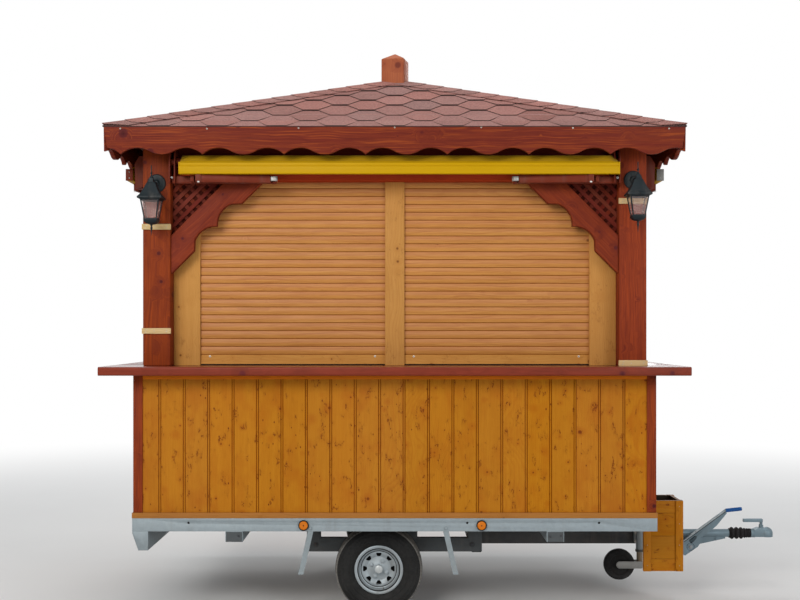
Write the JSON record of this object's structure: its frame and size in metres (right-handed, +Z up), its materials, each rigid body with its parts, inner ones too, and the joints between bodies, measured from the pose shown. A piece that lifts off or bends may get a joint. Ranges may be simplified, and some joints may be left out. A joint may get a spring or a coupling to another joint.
{
  "type": "wooden market stall on a trailer",
  "caption": "Boarded wooden kiosk with a counter, roller shutters, corner braces and a shingled hip roof, built on a single axle trailer with an overrun coupling.",
  "frame": {"origin": "on the ground, under the middle of the boarded stall body", "axes": "+X along the trailer towards its coupling, +Y from the serving front to the rear side, +Z up"},
  "size_m": [4.17, 2.3265, 3.5069],
  "materials": {
    "galvanised": "dull hot dip galvanised steel with dirt",
    "dark_steel": "dark dusty chassis steel",
    "amber_lens": "ribbed amber lens",
    "tyre_rubber": "worn dusty tyre rubber",
    "wheel_silver": "silver paint with brake dust",
    "jockey_inner": "greasy brown steel",
    "jockey_black": "black solid rubber",
    "coupling_grey": "blue grey zinc plate",
    "bellows_black": "matt black rubber",
    "box_wood": "honey stained pine with knots",
    "deck_wood": "brown coated plywood",
    "wall_wood": "honey stained pine boards with knots",
    "red_wood": "red brown wood stain, satin",
    "moulding_wood": "honey brown stain",
    "dark_red_wood": "dark red brown wood stain, satin",
    "honey_wood": "light honey stain with knots",
    "shutter_wood": "wood grain printed slats, satin",
    "fascia_wood": "red brown stained board with grain",
    "shingle": "mineral grit on red brown shingles",
    "awning_brown": "red brown powder paint",
    "awning_yellow": "yellow powder paint",
    "awning_fabric": "yellow woven acrylic cloth",
    "lantern_black": "black paint",
    "lantern_glass": "clear faceted glass",
    "batten_wood": "raw planed pine"
  },
  "bodies": {
    "stall": {"side_rails": "galvanised", "cross_channels": "galvanised", "rear_light_board": "galvanised", "axle_beams": "dark_steel", "axle": "dark_steel", "mudguard_stays": "galvanised", "side_markers": "amber_lens", "drawbar": "dark_steel", "jockey_tube": "galvanised", "coupling_housing": "coupling_grey", "coupling_bellows": "bellows_black", "drawbar_box": "box_wood", "floor_deck": "deck_wood", "front_lower_wall": "wall_wood", "back_lower_wall": "wall_wood", "end_lower_walls": "wall_wood", "corner_trims": "red_wood", "wall_mouldings": "moulding_wood", "counter": "dark_red_wood", "corner_posts": "red_wood", "shutter_frames": "honey_wood", "long_shutters": "shutter_wood", "end_shutters": "shutter_wood", "header_boxes": "dark_red_wood", "post_braces": "red_wood", "lattice_panels": "dark_red_wood", "fascia_boards": "fascia_wood", "roof_panels": "shingle", "finial_post": "red_wood", "awning_rollers": "awning_brown", "awning_bars": "awning_yellow", "awning_arms": "awning_brown", "awning_cloths": "awning_fabric", "lantern_frames": "lantern_black", "lantern_glass": "lantern_glass", "post_battens": "batten_wood"},
    "near_wheel": {"near_tyre": "tyre_rubber", "near_rim": "wheel_silver"},
    "far_wheel": {"far_tyre": "tyre_rubber", "far_rim": "wheel_silver"},
    "jockey_leg": {"jockey_leg": "jockey_inner"},
    "jockey_fork": {"jockey_fork": "wheel_silver"},
    "jockey_wheel": {"jockey_wheel": "jockey_black"},
    "draw_shaft": {"coupling_head": "coupling_grey"},
    "coupling_handle": {"coupling_handle": "coupling_grey"},
    "handbrake": {"handbrake_lever": "coupling_grey"}
  },
  "joints": [
    {"name": "near_wheel_spin", "type": "hinge", "parent": "stall", "child": "near_wheel", "pos_m": [-0.095, -0.7425, 0.26], "axis": [0, 1, 0], "continuous": true},
    {"name": "far_wheel_spin", "type": "hinge", "parent": "stall", "child": "far_wheel", "pos_m": [-0.095, 0.7425, 0.26], "axis": [0, 1, 0], "continuous": true},
    {"name": "jockey_wind", "type": "slide", "parent": "stall", "child": "jockey_leg", "axis": [0, 0, -1], "range_m": [0, 0.2]},
    {"name": "jockey_fold", "type": "hinge", "parent": "jockey_leg", "child": "jockey_fork", "pos_m": [1.602, -0.078, 0.147], "axis": [0, -1, 0], "range_deg": [0, 90]},
    {"name": "jockey_wheel_spin", "type": "hinge", "parent": "jockey_fork", "child": "jockey_wheel", "pos_m": [1.467, -0.078, 0.147], "axis": [0, 1, 0], "continuous": true},
    {"name": "overrun_slide", "type": "slide", "parent": "stall", "child": "draw_shaft", "axis": [-1, 0, 0], "range_m": [0, 0.08], "deforming": ["coupling_bellows"]},
    {"name": "coupling_handle_lift", "type": "hinge", "parent": "draw_shaft", "child": "coupling_handle", "pos_m": [2.422, 0, 0.384], "axis": [0, 1, 0], "range_deg": [0, 50]},
    {"name": "handbrake_lever_swing", "type": "hinge", "parent": "stall", "child": "handbrake", "pos_m": [1.94, -0.062, 0.257], "axis": [0, -1, 0], "range_deg": [-35, 45]}
  ]
}
